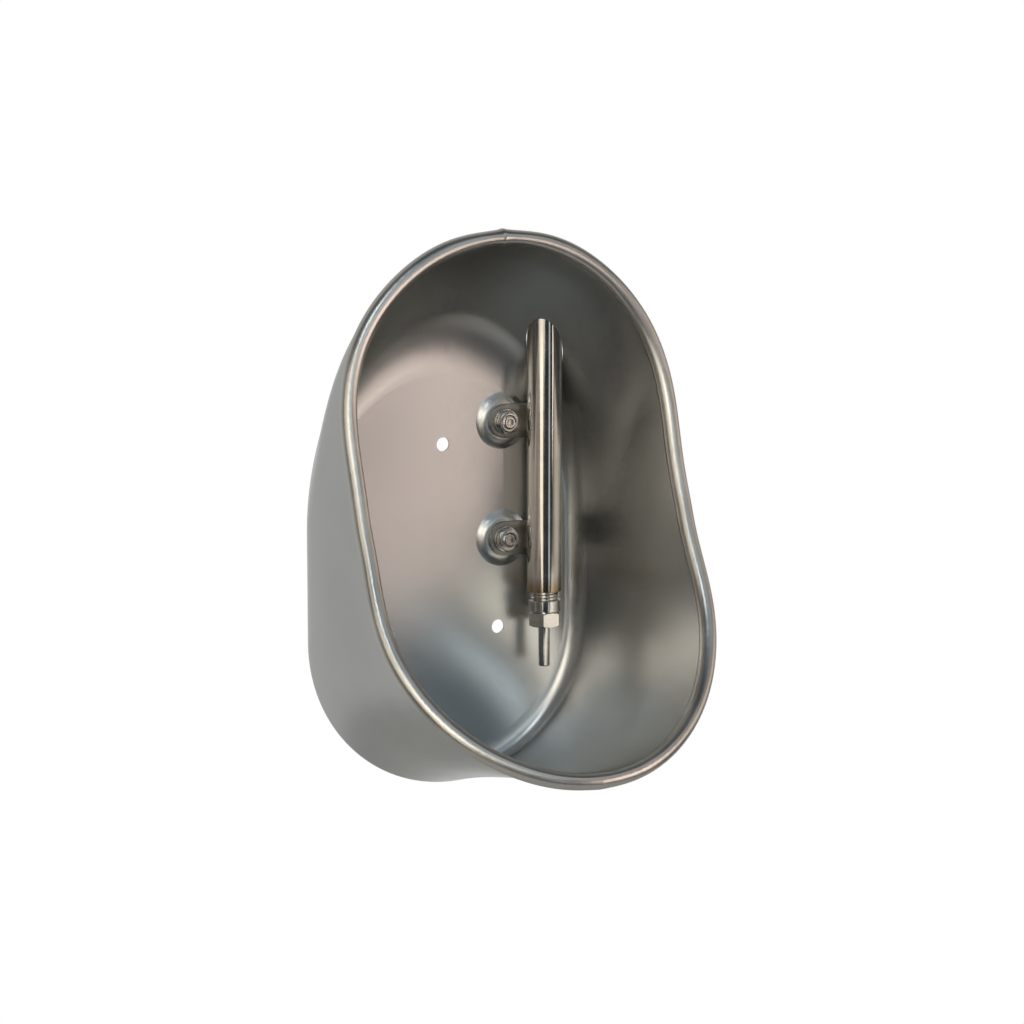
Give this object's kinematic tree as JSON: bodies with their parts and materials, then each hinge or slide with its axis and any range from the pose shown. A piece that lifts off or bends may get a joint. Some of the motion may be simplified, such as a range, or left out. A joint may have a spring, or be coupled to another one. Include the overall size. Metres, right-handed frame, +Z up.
{
  "type": "livestock drinking bowl",
  "caption": "Wall-hung stainless drinking bowl with a hooded back, a round rim and a push-pin water valve on an internal supply pipe.",
  "frame": {"origin": "on the face that lies against the wall, on the bowl's line of symmetry, near mid height", "axes": "+Z up, +X to the viewer's right, +Y into the wall; the mouth faces -Y"},
  "size_m": [0.2188, 0.1982, 0.3385],
  "materials": {
    "stainless_sheet": "satin",
    "polished_stainless": "polished",
    "stainless_plate": "pickled",
    "fastener_steel": "plain",
    "machined_stainless": "turned",
    "spring_steel": "drawn wire",
    "seal_rubber": "matt",
    "valve_plastic": "moulded"
  },
  "bodies": {
    "bowl": {"bowl_shell": "stainless_sheet", "rim_ring": "polished_stainless", "rim_weld": "polished_stainless", "water_pipe": "polished_stainless", "upper_lug": "stainless_plate", "lower_lug": "stainless_plate", "upper_lug_weld": "stainless_plate", "lower_lug_weld": "stainless_plate", "upper_bolt": "fastener_steel", "lower_bolt": "fastener_steel", "upper_washer": "fastener_steel", "lower_washer": "fastener_steel", "upper_nut": "fastener_steel", "lower_nut": "fastener_steel", "valve_body": "machined_stainless", "valve_spring": "spring_steel", "flow_nozzle": "valve_plastic", "strainer": "valve_plastic"},
    "cup": {"spring_cup": "valve_plastic"},
    "seal": {"pin_seal": "seal_rubber"},
    "pin": {"valve_pin": "machined_stainless"}
  },
  "joints": [
    {"name": "pin_lift", "type": "slide", "parent": "bowl", "child": "cup", "axis": [0, 0, 1], "range_m": [0, 0.002], "stiffness_N_per_m": 600, "springref_m": -0.002, "deforming": ["valve_spring"]},
    {"name": "pin_rock", "type": "hinge", "parent": "cup", "child": "seal", "pos_m": [0.0604, -0.0172, -0.06], "axis": [1, 0, 0], "range_deg": [-5, 5], "stiffness_Nm_per_rad": 0.08},
    {"name": "pin_tilt", "type": "hinge", "parent": "seal", "child": "pin", "pos_m": [0.0604, -0.0172, -0.06], "axis": [0, 1, 0], "range_deg": [-5, 5], "stiffness_Nm_per_rad": 0.08}
  ]
}
